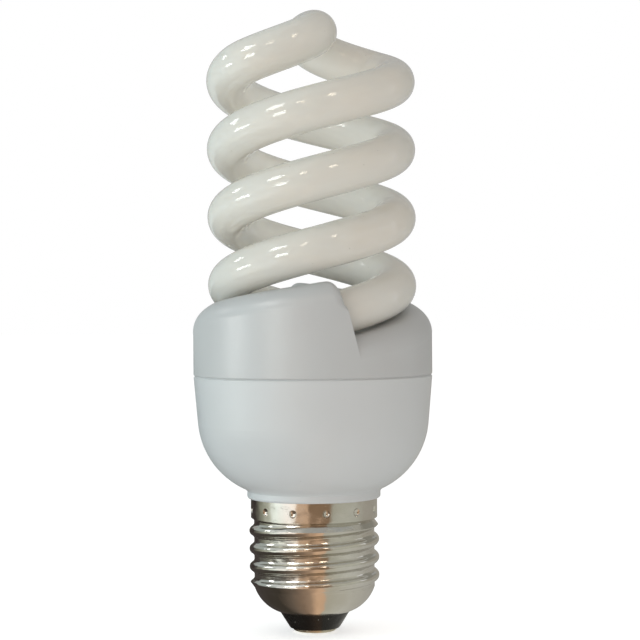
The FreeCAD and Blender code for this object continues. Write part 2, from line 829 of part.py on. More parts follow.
def make_input_choke():
    x, y = input_choke_place
    low = board_bottom - input_choke_length
    drum = cylinder_between(input_choke_radius, low, board_bottom)
    groove_low = low + input_choke_flange
    groove_high = board_bottom - input_choke_flange
    groove = ring_between(input_choke_waist, input_choke_radius + 1, groove_low, groove_high)
    drum = drum.cut(groove).translate(Vec(x, y, 0))
    return fused([drum] + pin_pair(input_choke_place, input_choke_lead_pitch))


def make_axial_part(x, y, radius, length):
    # A small round part that lies along Y on the board, with both leads bent down through it
    height = board_top + axial_lift + radius
    body = Part.makeCylinder(radius, length, Vec(x, y - length / 2, height), Vec(0, 1, 0))
    leads = []
    for side in (-1, 1):
        start_y = y + side * (length / 2 - pin_sink)
        lead_y = y + side * (length / 2 + axial_lead_reach)
        points = [Vec(x, start_y, height), Vec(x, lead_y, height), Vec(x, lead_y, board_bottom)]
        leads.append(bent_wire(points, axial_lead_radius, axial_lead_bend))
        through_board(x, lead_y, axial_lead_radius)
    return fused([body] + leads)


def post_places():
    places = []
    for turn in (0, half_turn):
        for offset in post_offsets:
            places.append(at_angle(coil_radius + offset, post_line_angle + turn, board_top))
    return places


def make_wrap_post(place):
    through_board(place.x, place.y, post_radius)
    shaft = cylinder_between(post_radius, board_bottom, board_top + post_height)
    flange = cylinder_between(post_flange_radius, board_top, board_top + post_flange_height)
    return main_solid(shaft.fuse(flange)).translate(Vec(place.x, place.y, 0))


def make_tube_leads():
    # Two wires from each sealed end, down beside the posts of that end
    outward = strand_tangent(strand_end_angle) * -1
    radial = at_angle(1, strand_end_angle, 0)
    end = at_angle(coil_radius, strand_end_angle, strand_z(strand_end_angle)) + outward * seal_length
    beside = post_radius + electrode_wire_radius + touch
    first_run = 2.4
    settle_height = board_top + post_height + 1.5
    low = board_top + post_flange_height + touch
    wires = []
    for side, post in zip((1, -1), post_places()):
        start = end + radial * (side * electrode_spread)
        out = start + outward * first_run
        above = Vec(post.x + beside, post.y, settle_height)
        foot = Vec(post.x + beside, post.y, low)
        wires.append(bent_wire([start, out, above, foot], electrode_wire_radius, lead_bend))
    return wires + [turned(wire, half_turn) for wire in wires]


def make_fusible_resistor():
    x, y = fuse_place
    top = fuse_bottom + fuse_length
    body = cylinder_between(fuse_radius, fuse_bottom, top).translate(Vec(x, y, 0))
    lead_x, lead_y = fuse_lead_place
    points = [Vec(x, y, top - pin_sink), Vec(x, y, lead_shift_height - lead_shift_run)]
    points += [Vec(lead_x, lead_y, lead_shift_height), Vec(lead_x, lead_y, board_top)]
    through_board(lead_x, lead_y, lead_radius)
    return fused([body, bent_wire(points, lead_radius, lead_bend)])


def make_live_lead():
    x, y = fuse_place
    points = [Vec(0, 0, contact_face_height), Vec(0, 0, fuse_bottom - live_shift_drop)]
    points += [Vec(x, y, fuse_bottom - live_straight), Vec(x, y, fuse_bottom)]
    return bent_wire(points, lead_radius, short_bend)


def make_neutral_lead():
    root_turns = neutral_angle / full_turn + neutral_turns_up
    height = thread_phase_height + thread_pitch * root_turns
    wall_radius = thread_root_radius - sheet
    inward = wall_radius - neutral_inset
    points = [at_angle(wall_radius - touch, neutral_angle, height), at_angle(inward, neutral_angle, height)]
    points += [at_angle(inward, neutral_angle, board_top)]
    through_board(points[-1].x, points[-1].y, lead_radius)
    return bent_wire(points, lead_radius, lead_bend)


def make_circuit_board():
    board = cylinder_between(cover_radius - wall - board_gap, board_bottom, board_top)
    for x, y, radius in board_holes:
        board = board.cut(cylinder_between(radius, board_bottom - 1, board_top + 1).translate(Vec(x, y, 0)))
    return main_solid(board)


def make_tube_cement(tube, cover_inside):
    behind = 20.0
    ahead = 8.0
    thickness = 2.2
    collar = strand_tube(tube_radius + thickness, step_angle - behind, step_angle + ahead)
    return main_solid(collar.common(cover_inside).cut(tube))


pieces = {}
cover_inside = make_cover_inside()
pieces["spiral_tube"] = make_spiral_tube()
pieces["upper_cover"] = make_upper_cover(cover_inside)
pieces["lower_housing"] = make_lower_housing()
cap_shell, cap_inside = make_cap_shell()
pieces["cap_shell"] = cap_shell
pieces["cap_insulator"] = make_cap_insulator(cap_inside)
pieces["centre_contact"] = make_centre_contact()
pieces["contact_solder"] = make_contact_solder()
cement = make_tube_cement(pieces["spiral_tube"], cover_inside)
pieces["tube_cement_a"] = cement
pieces["tube_cement_b"] = turned(cement, half_turn)
pieces["smoothing_capacitor"] = make_smoothing_capacitor()
pieces["choke_core"], pieces["choke_bobbin"], pieces["choke_winding"] = make_choke()
toroid_parts = make_toroid()
pieces["toroid_core"] = toroid_parts[0]
for i, winding in enumerate(toroid_parts[1:], start=1):
    pieces[f"toroid_winding_{i}"] = winding
for i, place in enumerate(transistor_places, start=1):
    pieces[f"transistor_{i}"] = make_transistor(place)
pieces["resonant_capacitor"] = make_film_capacitor(resonant_place, resonant_size)
pieces["coupling_capacitor"] = make_film_capacitor(coupling_place, coupling_size)
pieces["timing_capacitor"] = make_timing_capacitor()
pieces["input_choke"] = make_input_choke()
diode_x, diode_y = diode_row_place
resistor_x, resistor_y = resistor_row_place
for i in range(row_count):
    x = diode_x + diode_spacing * i
    pieces[f"rectifier_diode_{i + 1}"] = make_axial_part(x, diode_y, diode_radius, diode_length)
    x = resistor_x + resistor_spacing * i
    pieces[f"resistor_{i + 1}"] = make_axial_part(x, resistor_y, resistor_radius, resistor_length)
pieces["diac"] = make_axial_part(diac_place[0], diac_place[1], diac_radius, diac_length)
for i, place in enumerate(post_places(), start=1):
    pieces[f"wrap_post_{i}"] = make_wrap_post(place)
for i, wire in enumerate(make_tube_leads(), start=1):
    pieces[f"tube_lead_{i}"] = wire
pieces["fusible_resistor"] = make_fusible_resistor()
pieces["live_lead"] = make_live_lead()
pieces["neutral_lead"] = make_neutral_lead()
pieces["circuit_board"] = make_circuit_board()

os.makedirs("parts", exist_ok=True)
for name, shape in pieces.items():
    print(name, shape.ShapeType, shape.isValid(), round(shape.Volume, 2))
    shape.exportStep(f"parts/{name}.step")
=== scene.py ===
import bpy
import math
from mathutils import Matrix, Vector


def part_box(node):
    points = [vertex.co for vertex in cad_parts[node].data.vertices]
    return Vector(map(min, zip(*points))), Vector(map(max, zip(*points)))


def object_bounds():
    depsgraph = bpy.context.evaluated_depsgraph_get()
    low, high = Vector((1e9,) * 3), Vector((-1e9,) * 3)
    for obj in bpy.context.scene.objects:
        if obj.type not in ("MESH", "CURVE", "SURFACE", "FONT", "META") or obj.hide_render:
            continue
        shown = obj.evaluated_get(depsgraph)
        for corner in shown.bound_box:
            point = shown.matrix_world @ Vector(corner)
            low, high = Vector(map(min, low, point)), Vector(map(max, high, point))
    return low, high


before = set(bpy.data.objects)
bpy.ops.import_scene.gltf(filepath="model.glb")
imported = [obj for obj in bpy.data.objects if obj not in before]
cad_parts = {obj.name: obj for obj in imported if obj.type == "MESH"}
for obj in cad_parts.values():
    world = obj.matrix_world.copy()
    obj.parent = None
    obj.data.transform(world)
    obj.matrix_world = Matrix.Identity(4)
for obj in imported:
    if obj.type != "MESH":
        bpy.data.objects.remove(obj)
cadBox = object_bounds()
print("frame loaded:", len(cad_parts), "parts")

scene = bpy.context.scene
scene.view_settings.view_transform = "Standard"


# Helpers for node trees

def addNode(tree, kind, **settings):
    node = tree.nodes.new(kind)
    for name, value in settings.items():
        setattr(node, name, value)
    return node


def setInputs(node, values):
    for name, value in values.items():
        node.inputs[name].default_value = value
    return node


def join(tree, *pairs):
    # Each pair is an output and the input that it feeds
    for source, target in pairs:
        tree.links.new(source, target)


def newMaterial(name, values):
    material = bpy.data.materials.new(name)
    material.use_nodes = True
    tree = material.node_tree
    shader = setInputs(tree.nodes["Principled BSDF"], values)
    return material, tree, shader


def newGroup(name, inputs, outputs):
    # Inputs come with their starting value, a number or a colour
    group = bpy.data.node_groups.new(name, "ShaderNodeTree")
    for socketName, value in inputs.items():
        kind = "NodeSocketColor" if isinstance(value, tuple) else "NodeSocketFloat"
        socket = group.interface.new_socket(socketName, in_out="INPUT", socket_type=kind)
        socket.default_value = value
    for socketName, kind in outputs.items():
        group.interface.new_socket(socketName, in_out="OUTPUT", socket_type=kind)
    return group, addNode(group, "NodeGroupInput"), addNode(group, "NodeGroupOutput")


def placeGroup(tree, group, values):
    return setInputs(addNode(tree, "ShaderNodeGroup", node_tree=group), values)


def addBump(tree, shader, height, distance):
    bump = setInputs(addNode(tree, "ShaderNodeBump"), {"Strength": 1.0, "Distance": distance})
    join(tree, (height, bump.inputs["Height"]), (bump.outputs["Normal"], shader.inputs["Normal"]))


def mixColours(tree, mask, first, second):
    # The mask's 0 gives the first colour and its 1 the second. Each is a socket or a plain colour
    mix = addNode(tree, "ShaderNodeMix", data_type="RGBA")      # 6, 7 and 2 are its colour sockets
    join(tree, (mask, mix.inputs["Factor"]))
    for socket, value in ((mix.inputs[6], first), (mix.inputs[7], second)):
        if isinstance(value, tuple):
            socket.default_value = value
        else:
            join(tree, (value, socket))
    return mix.outputs[2]


def rgb(red, green, blue):
    return (red, green, blue, 1.0)


white = rgb(1, 1, 1)


# Shared effects. Object coordinates are metres, so a scale of 1000 is one cell per millimetre

def makeMottle():
    # Slow drift between two colours, as in a coating or a moulding
    steepness = 4.0
    group, given, result = newGroup(
        "colourMottle",
        {"First": white, "Second": white, "Scale": 60.0, "Contrast": 0.5},
        {"Colour": "NodeSocketColor"},
    )
    place = addNode(group, "ShaderNodeTexCoord")
    noise = setInputs(addNode(group, "ShaderNodeTexNoise"), {"Detail": 3.0, "Roughness": 0.55})
    centred = setInputs(addNode(group, "ShaderNodeMath", operation="SUBTRACT"), {1: 0.5})
    widened = addNode(group, "ShaderNodeMath", operation="MULTIPLY")
    mask = addNode(group, "ShaderNodeMath", operation="MULTIPLY_ADD", use_clamp=True)
    setInputs(mask, {1: steepness, 2: 0.5})
    join(
        group,
        (place.outputs["Object"], noise.inputs["Vector"]),
        (given.outputs["Scale"], noise.inputs["Scale"]),
        (noise.outputs["Fac"], centred.inputs[0]),
        (centred.outputs[0], widened.inputs[0]),
        (given.outputs["Contrast"], widened.inputs[1]),
        (widened.outputs[0], mask.inputs[0]),
    )
    colour = mixColours(group, mask.outputs[0], given.outputs["First"], given.outputs["Second"])
    join(group, (colour, result.inputs["Colour"]))
    return group


def makeGrain():
    # Fine relief of a moulded, drawn or cast surface, stretched along the axis where asked,
    # over slow waves
    group, given, result = newGroup(
        "surfaceGrain",
        {"Scale": 2500.0, "Stretch": 1.0, "Waves": 0.0, "Wave Scale": 120.0},
        {"Height": "NodeSocketFloat"},
    )
    place = addNode(group, "ShaderNodeTexCoord")
    squeeze = setInputs(addNode(group, "ShaderNodeCombineXYZ"), {"X": 1.0, "Y": 1.0})
    shaped = addNode(group, "ShaderNodeVectorMath", operation="MULTIPLY")
    fine = setInputs(addNode(group, "ShaderNodeTexNoise"), {"Detail": 4.0, "Roughness": 0.6})
    slow = setInputs(addNode(group, "ShaderNodeTexNoise"), {"Detail": 1.0})
    waves = addNode(group, "ShaderNodeMath", operation="MULTIPLY")
    total = addNode(group, "ShaderNodeMath", operation="ADD")
    join(
        group,
        (given.outputs["Stretch"], squeeze.inputs["Z"]),
        (place.outputs["Object"], shaped.inputs[0]),
        (squeeze.outputs[0], shaped.inputs[1]),
        (shaped.outputs[0], fine.inputs["Vector"]),
        (given.outputs["Scale"], fine.inputs["Scale"]),
        (place.outputs["Object"], slow.inputs["Vector"]),
        (given.outputs["Wave Scale"], slow.inputs["Scale"]),
        (slow.outputs["Fac"], waves.inputs[0]),
        (given.outputs["Waves"], waves.inputs[1]),
        (fine.outputs["Fac"], total.inputs[0]),
        (waves.outputs[0], total.inputs[1]),
        (total.outputs[0], result.inputs["Height"]),
    )
    return group


def makeHandling():
    # Roughness that changes with fingerprints and fine rubbing
    cleanBelow = 0.38
    rubbedAbove = 0.68
    group, given, result = newGroup(
        "handlingMarks",
        {"Smooth": 0.2, "Rubbed": 0.4, "Scale": 90.0},
        {"Roughness": "NodeSocketFloat"},
    )
    place = addNode(group, "ShaderNodeTexCoord")
    smear = setInputs(addNode(group, "ShaderNodeTexNoise"), {"Detail": 3.0, "Roughness": 0.5})
    ramp = addNode(group, "ShaderNodeMapRange")
    setInputs(ramp, {"From Min": cleanBelow, "From Max": rubbedAbove})
    mixed = addNode(group, "ShaderNodeMapRange")
    join(
        group,
        (place.outputs["Object"], smear.inputs["Vector"]),
        (given.outputs["Scale"], smear.inputs["Scale"]),
        (smear.outputs["Fac"], ramp.inputs["Value"]),
        (ramp.outputs["Result"], mixed.inputs["Value"]),
        (given.outputs["Smooth"], mixed.inputs["To Min"]),
        (given.outputs["Rubbed"], mixed.inputs["To Max"]),
        (mixed.outputs["Result"], result.inputs["Roughness"]),
    )
    return group


def makeDots():
    # Small round dots of dust or pinholes, with a dot in only a share of the cells
    group, given, result = newGroup(
        "smallSpecks",
        {"Scale": 900.0, "Size": 0.12, "Share": 0.2},
        {"Mask": "NodeSocketFloat"},
    )
    place = addNode(group, "ShaderNodeTexCoord")
    cells = addNode(group, "ShaderNodeTexVoronoi")
    parts = addNode(group, "ShaderNodeSeparateColor")
    near = addNode(group, "ShaderNodeMath", operation="LESS_THAN")
    chosen = addNode(group, "ShaderNodeMath", operation="LESS_THAN")
    both = addNode(group, "ShaderNodeMath", operation="MULTIPLY")
    join(
        group,
        (place.outputs["Object"], cells.inputs["Vector"]),
        (given.outputs["Scale"], cells.inputs["Scale"]),
        (cells.outputs["Distance"], near.inputs[0]),
        (given.outputs["Size"], near.inputs[1]),
        (cells.outputs["Color"], parts.inputs["Color"]),
        (parts.outputs["Red"], chosen.inputs[0]),
        (given.outputs["Share"], chosen.inputs[1]),
        (near.outputs[0], both.inputs[0]),
        (chosen.outputs[0], both.inputs[1]),
        (both.outputs[0], result.inputs["Mask"]),
    )
    return group


def makeBand():
    # 1 between two places along one axis of the lamp, 0 outside, with a soft edge
    group, given, result = newGroup(
        "bandMask",
        {"Value": 0.0, "Low": 0.0, "High": 1.0, "Edge": 0.0001},
        {"Mask": "NodeSocketFloat"},
    )
    lowEnd = addNode(group, "ShaderNodeMath", operation="ADD")
    highStart = addNode(group, "ShaderNodeMath", operation="SUBTRACT")
    rise = addNode(group, "ShaderNodeMapRange", interpolation_type="SMOOTHSTEP")
    fall = addNode(group, "ShaderNodeMapRange", interpolation_type="SMOOTHSTEP")
    setInputs(fall, {"To Min": 1.0, "To Max": 0.0})
    both = addNode(group, "ShaderNodeMath", operation="MULTIPLY")
    join(
        group,
        (given.outputs["Low"], lowEnd.inputs[0]),
        (given.outputs["Edge"], lowEnd.inputs[1]),
        (given.outputs["High"], highStart.inputs[0]),
        (given.outputs["Edge"], highStart.inputs[1]),
        (given.outputs["Value"], rise.inputs["Value"]),
        (given.outputs["Low"], rise.inputs["From Min"]),
        (lowEnd.outputs[0], rise.inputs["From Max"]),
        (given.outputs["Value"], fall.inputs["Value"]),
        (highStart.outputs[0], fall.inputs["From Min"]),
        (given.outputs["High"], fall.inputs["From Max"]),
        (rise.outputs["Result"], both.inputs[0]),
        (fall.outputs["Result"], both.inputs[1]),
        (both.outputs[0], result.inputs["Mask"]),
    )
    return group


mottle = makeMottle()
grain = makeGrain()
handling = makeHandling()
dots = makeDots()
band = makeBand()
print("shared effects ready")


def axisValue(tree, axis):
    place = addNode(tree, "ShaderNodeTexCoord")
    split = addNode(tree, "ShaderNodeSeparateXYZ")
    join(tree, (place.outputs["Object"], split.inputs[0]))
    return split.outputs[axis]


def bandAt(tree, axis, low, high, edge):
    node = placeGroup(tree, band, {"Low": low, "High": high, "Edge": edge})
    join(tree, (axisValue(tree, axis), node.inputs["Value"]))
    return node.outputs["Mask"]


def surfaceFinish(name, finish):
    # The common build of a finish: drifting colour, marks in the roughness and fine relief
    material, tree, shader = newMaterial(name, {
        "Metallic": finish.get("metallic", 0.0), "IOR": finish.get("ior", 1.5),
    })
    colour = placeGroup(tree, mottle, {
        "First": rgb(*finish["colour"]), "Second": rgb(*finish["otherColour"]),
        "Scale": finish["colourScale"], "Contrast": finish.get("contrast", 1.0),
    })
    marks = placeGroup(tree, handling, {
        "Smooth": finish["smooth"], "Rubbed": finish["rubbed"], "Scale": finish["markScale"],
    })
    relief = placeGroup(tree, grain, {
        "Scale": finish["grainScale"], "Stretch": finish.get("stretch", 1.0),
        "Waves": finish.get("waves", 0.0), "Wave Scale": finish.get("waveScale", 120.0),
    })
    join(
        tree,
        (colour.outputs["Colour"], shader.inputs["Base Color"]),
        (marks.outputs["Roughness"], shader.inputs["Roughness"]),
    )
    addBump(tree, shader, relief.outputs["Height"], finish["grainDepth"])
    return material, tree, shader, colour.outputs["Colour"]


def plainFinish(name, finish):
    return surfaceFinish(name, finish)[0]


def dottedFinish(name, finish):
    # A finish with small dots of another colour
    material, tree, shader, plain = surfaceFinish(name, finish)
    dotSettings = finish["dots"]
    mask = placeGroup(tree, dots, {
        "Scale": dotSettings["scale"], "Size": dotSettings["size"], "Share": dotSettings["share"],
    })
    colour = mixColours(tree, mask.outputs["Mask"], plain, rgb(*dotSettings["colour"]))
    join(tree, (colour, shader.inputs["Base Color"]))
    return material, shader


# Spiral tube: clear glass over a milky coating with pinholes

tubeGlass = {
    "colour": (0.672, 0.658, 0.610), "otherColour": (0.688, 0.658, 0.598),
    "colourScale": 70.0, "contrast": 0.8,
    "smooth": 0.03, "rubbed": 0.06, "markScale": 140.0,
    "grainScale": 90.0, "waves": 1.5, "waveScale": 60.0, "grainDepth": 0.00003,
    "dots": {"colour": (0.58, 0.56, 0.51), "scale": 700.0, "size": 0.1, "share": 0.12},
    "glowThrough": 0.85, "glowDepth": 0.009, "glowColour": (1.0, 0.98, 0.93),
}


def makeTubeGlass(finish):
    material, shader = dottedFinish("tubeGlass", finish)
    setInputs(shader, {
        "Subsurface Weight": finish["glowThrough"], "Subsurface Scale": finish["glowDepth"],
        "Subsurface Radius": finish["glowColour"],
    })
    return material


tube = makeTubeGlass(tubeGlass)


# Cover and housing: satin moulded plastic with a little dirt

plasticDirt = {"colour": (0.52, 0.52, 0.50), "scale": 380.0, "size": 0.05, "share": 0.10}
coverPlastic = {
    "colour": (0.515, 0.525, 0.52), "otherColour": (0.505, 0.51, 0.505), "colourScale": 45.0,
    "smooth": 0.32, "rubbed": 0.37, "markScale": 60.0,
    "grainScale": 5200.0, "waves": 4.0, "waveScale": 55.0, "grainDepth": 0.000012,
    "dots": plasticDirt,
}
housingPlastic = {
    "colour": (0.60, 0.615, 0.615), "otherColour": (0.585, 0.598, 0.595), "colourScale": 45.0,
    "smooth": 0.30, "rubbed": 0.35, "markScale": 60.0,
    "grainScale": 5200.0, "waves": 4.0, "waveScale": 55.0, "grainDepth": 0.000012,
    "dots": plasticDirt,
}

cover = dottedFinish("coverPlastic", coverPlastic)[0]
housing = dottedFinish("housingPlastic", housingPlastic)[0]


# Screw cap: nickel plate with rolling lines round it

nickelShell = {
    "colour": (0.66, 0.65, 0.62), "otherColour": (0.60, 0.58, 0.53),
    "colourScale": 110.0, "metallic": 1.0,
    "smooth": 0.07, "rubbed": 0.20, "markScale": 260.0,
    "grainScale": 900.0, "stretch": 9.0, "waves": 18.0, "waveScale": 330.0, "grainDepth": 0.00001,
}

nickel = plainFinish("nickelShell", nickelShell)


# Insulator: black glass with bright specks

blackGlass = {
    "colour": (0.006, 0.006, 0.006), "otherColour": (0.011, 0.010, 0.009),
    "colourScale": 300.0, "ior": 1.35,
    "smooth": 0.14, "rubbed": 0.34, "markScale": 420.0,
    "grainScale": 1500.0, "waves": 3.0, "waveScale": 500.0, "grainDepth": 0.00004,
    "dots": {"colour": (0.24, 0.23, 0.21), "scale": 1500.0, "size": 0.16, "share": 0.07},
}

insulator = dottedFinish("blackGlass", blackGlass)[0]


# Contact plate and its solder

contactMetal = {
    "colour": (0.60, 0.56, 0.46), "otherColour": (0.46, 0.42, 0.33),
    "colourScale": 420.0, "metallic": 1.0,
    "smooth": 0.18, "rubbed": 0.42, "markScale": 700.0,
    "grainScale": 3600.0, "grainDepth": 0.000012,
}
solderMetal = {
    "colour": (0.56, 0.56, 0.55), "otherColour": (0.43, 0.43, 0.42),
    "colourScale": 800.0, "metallic": 1.0,
    "smooth": 0.28, "rubbed": 0.52, "markScale": 900.0,
    "grainScale": 2600.0, "waves": 2.0, "waveScale": 700.0, "grainDepth": 0.00005,
}

contact = plainFinish("contactMetal", contactMetal)
solder = plainFinish("solderMetal", solderMetal)
print("outer finishes ready")


# Parts sealed inside the housing

cementFill = {
    "colour": (0.62, 0.60, 0.54), "otherColour": (0.52, 0.50, 0.44), "colourScale": 300.0,
    "smooth": 0.75, "rubbed": 0.9, "markScale": 500.0,
    "grainScale": 1800.0, "grainDepth": 0.00008,
}
ferriteBlack = {
    "colour": (0.035, 0.035, 0.037), "otherColour": (0.055, 0.053, 0.05), "colourScale": 600.0,
    "smooth": 0.5, "rubbed": 0.72, "markScale": 500.0,
    "grainScale": 4200.0, "grainDepth": 0.00002,
}
bobbinPlastic = {
    "colour": (0.60, 0.57, 0.48), "otherColour": (0.53, 0.50, 0.42), "colourScale": 200.0,
    "smooth": 0.35, "rubbed": 0.5, "markScale": 300.0,
    "grainScale": 3000.0, "grainDepth": 0.00001,
}
blackMoulding = {
    "colour": (0.022, 0.022, 0.024), "otherColour": (0.034, 0.033, 0.032), "colourScale": 500.0,
    "smooth": 0.42, "rubbed": 0.6, "markScale": 400.0,
    "grainScale": 5000.0, "grainDepth": 0.00002,
}
filmDip = {
    "colour": (0.20, 0.05, 0.03), "otherColour": (0.27, 0.08, 0.04), "colourScale": 250.0,
    "smooth": 0.16, "rubbed": 0.3, "markScale": 300.0,
    "grainScale": 700.0, "waves": 2.0, "waveScale": 250.0, "grainDepth": 0.00006,
}
capacitorSleeve = {
    "colour": (0.03, 0.05, 0.10), "otherColour": (0.04, 0.06, 0.12), "colourScale": 150.0,
    "smooth": 0.2, "rubbed": 0.34, "markScale": 250.0,
    "grainScale": 1200.0, "waves": 1.0, "waveScale": 200.0, "grainDepth": 0.00003,
}
tinnedWire = {
    "colour": (0.66, 0.65, 0.62), "otherColour": (0.50, 0.49, 0.46),
    "colourScale": 900.0, "metallic": 1.0,
    "smooth": 0.22, "rubbed": 0.4, "markScale": 900.0,
    "grainScale": 4000.0, "grainDepth": 0.00001,
}
boardLaminate = {
    "colour": (0.36, 0.21, 0.09), "otherColour": (0.44, 0.28, 0.13),
    "colourScale": 500.0, "contrast": 1.4,
    "smooth": 0.4, "rubbed": 0.6, "markScale": 300.0,
    "grainScale": 2400.0, "grainDepth": 0.00003,
}

cement = plainFinish("cementFill", cementFill)
ferrite = plainFinish("ferriteBlack", ferriteBlack)
bobbin = plainFinish("bobbinPlastic", bobbinPlastic)
moulding = plainFinish("blackMoulding", blackMoulding)
film = plainFinish("filmDip", filmDip)
sleeve = plainFinish("capacitorSleeve", capacitorSleeve)
wire = plainFinish("tinnedWire", tinnedWire)
laminate = plainFinish("boardLaminate", boardLaminate)


# Enamelled copper wire, wound side by side along one axis

copperWinding = {
    "colour": (0.60, 0.22, 0.08), "otherColour": (0.46, 0.15, 0.05),
    "colourScale": 700.0, "metallic": 1.0,
    "smooth": 0.2, "rubbed": 0.34, "markScale": 700.0,
    "grainScale": 3000.0, "grainDepth": 0.00001,
    "wireWidth": 0.00042, "wireDepth": 0.00016,
}


def makeCopperWinding(name, axis, finish):
    material, tree, shader = surfaceFinish(name, finish)[:3]
    turns = addNode(tree, "ShaderNodeMath", operation="MULTIPLY")
    setInputs(turns, {1: math.pi / finish["wireWidth"]})
    wave = addNode(tree, "ShaderNodeMath", operation="SINE")
    ridge = addNode(tree, "ShaderNodeMath", operation="ABSOLUTE")
    join(
        tree,
        (axisValue(tree, axis), turns.inputs[0]),
        (turns.outputs[0], wave.inputs[0]),
        (wave.outputs[0], ridge.inputs[0]),
    )
    addBump(tree, shader, ridge.outputs[0], finish["wireDepth"])
    return material


chokeWire = makeCopperWinding("chokeWinding", "Y", copperWinding)
ringWire = makeCopperWinding("ringWinding", "X", copperWinding)


# Small wired parts on the board: a body with rings round it, and bare leads.
# A ring starts and ends at a share of the body's length

wiredPart = {
    "leadColour": (0.62, 0.61, 0.58), "ringEdge": 0.00005,
    "leadReach": 0.00175,      # leads stand out this far past each end of a body
}
glassDiode = {
    "colour": (0.025, 0.025, 0.027), "otherColour": (0.035, 0.034, 0.033), "colourScale": 400.0,
    "smooth": 0.3, "rubbed": 0.45, "markScale": 500.0,
    "grainScale": 4000.0, "grainDepth": 0.00001,
    "rings": [(0.70, 0.82, (0.55, 0.55, 0.54))],
}
filmResistor = {
    "colour": (0.55, 0.40, 0.22), "otherColour": (0.50, 0.36, 0.19), "colourScale": 400.0,
    "smooth": 0.22, "rubbed": 0.35, "markScale": 500.0,
    "grainScale": 3000.0, "grainDepth": 0.00001,
    "rings": [(0.12, 0.20, (0.22, 0.07, 0.03)), (0.28, 0.36, (0.45, 0.03, 0.02)),
              (0.44, 0.52, (0.62, 0.25, 0.02)), (0.76, 0.84, (0.50, 0.36, 0.08))],
}
triggerDiode = {
    "colour": (0.05, 0.10, 0.20), "otherColour": (0.06, 0.12, 0.24), "colourScale": 400.0,
    "smooth": 0.1, "rubbed": 0.2, "markScale": 500.0,
    "grainScale": 3000.0, "grainDepth": 0.00001,
    "rings": [],
}
fuseCoating = dict(filmResistor, colour=(0.20, 0.30, 0.16), otherColour=(0.17, 0.26, 0.14))


def makeWiredPart(name, node, finish):
    low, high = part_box(node)
    bodyLow = low.y + wiredPart["leadReach"]
    bodyHigh = high.y - wiredPart["leadReach"]
    edge = wiredPart["ringEdge"]
    material, tree, shader, colour = surfaceFinish(name, finish)
    for start, end, ringColour in finish["rings"]:
        ringLow = bodyLow + start * (bodyHigh - bodyLow)
        ringHigh = bodyLow + end * (bodyHigh - bodyLow)
        ring = bandAt(tree, "Y", ringLow, ringHigh, edge)
        colour = mixColours(tree, ring, colour, rgb(*ringColour))
    bodyMask = bandAt(tree, "Y", bodyLow, bodyHigh, edge)
    colour = mixColours(tree, bodyMask, rgb(*wiredPart["leadColour"]), colour)
    bare = setInputs(addNode(tree, "ShaderNodeMath", operation="SUBTRACT"), {0: 1.0})
    join(
        tree,
        (bodyMask, bare.inputs[1]),
        (bare.outputs[0], shader.inputs["Metallic"]),
        (colour, shader.inputs["Base Color"]),
    )
    return material


diode = makeWiredPart("glassDiode", "rectifier_diode_1", glassDiode)
resistor = makeWiredPart("filmResistor", "resistor_1", filmResistor)
trigger = makeWiredPart("triggerDiode", "diac", triggerDiode)
fuse = plainFinish("fuseCoating", fuseCoating)
print("inner finishes ready")


# Which finish each part takes. Numbered parts go by the start of their name

finishOf = {
    "spiral_tube": tube, "upper_cover": cover, "lower_housing": housing, "cap_shell": nickel,
    "cap_insulator": insulator, "centre_contact": contact, "contact_solder": solder,
    "tube_cement_a": cement, "tube_cement_b": cement, "smoothing_capacitor": sleeve,
    "choke_core": ferrite, "choke_bobbin": bobbin, "choke_winding": chokeWire,
    "toroid_core": ferrite, "resonant_capacitor": film, "coupling_capacitor": film,
    "timing_capacitor": film, "input_choke": ferrite, "diac": trigger, "fusible_resistor": fuse,
    "live_lead": wire, "neutral_lead": wire, "circuit_board": laminate,
}
finishByStart = {
    "toroid_winding": ringWire, "transistor": moulding, "rectifier_diode": diode,
    "resistor": resistor, "wrap_post": wire, "tube_lead": wire,
}

for nodeName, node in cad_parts.items():
    finish = finishOf.get(nodeName)
    for start, byStart in finishByStart.items():
        if nodeName.startswith(start):
            finish = byStart
    node.data.materials.clear()
    node.data.materials.append(finish)
print("finishes placed on", len(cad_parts), "parts")


# Floor and sky

studio = {
    "aim": (0.0, 0.0, 0.075),
    "floorSize": 6.0, "floorColour": (0.86, 0.86, 0.86), "floorRoughness": 0.9,
    "floorGlow": 0.55, "floorBounce": 0.20,      # as seen, and as it lights the lamp
    "skyLight": 0.57, "skyColour": (1.0, 0.99, 0.975),
}


def outward(azimuth, elevation):
    # The direction from the lamp to a place, with azimuth 0 at the camera and 90 at the right
    across = math.radians(azimuth)
    above = math.radians(elevation)
    level = math.cos(above)
    return Vector((math.sin(across) * level, -math.cos(across) * level, math.sin(above)))


def seenDirectly(tree):
    # 1 for what the camera, a reflection or clear glass shows, 0 for light that falls on surfaces
    path = addNode(tree, "ShaderNodeLightPath")
    first = addNode(tree, "ShaderNodeMath", operation="MAXIMUM")
    second = addNode(tree, "ShaderNodeMath", operation="MAXIMUM")
    join(
        tree,
        (path.outputs["Is Camera Ray"], first.inputs[0]),
        (path.outputs["Is Glossy Ray"], first.inputs[1]),
        (first.outputs[0], second.inputs[0]),
        (path.outputs["Is Transmission Ray"], second.inputs[1]),
    )
    return second.outputs[0]


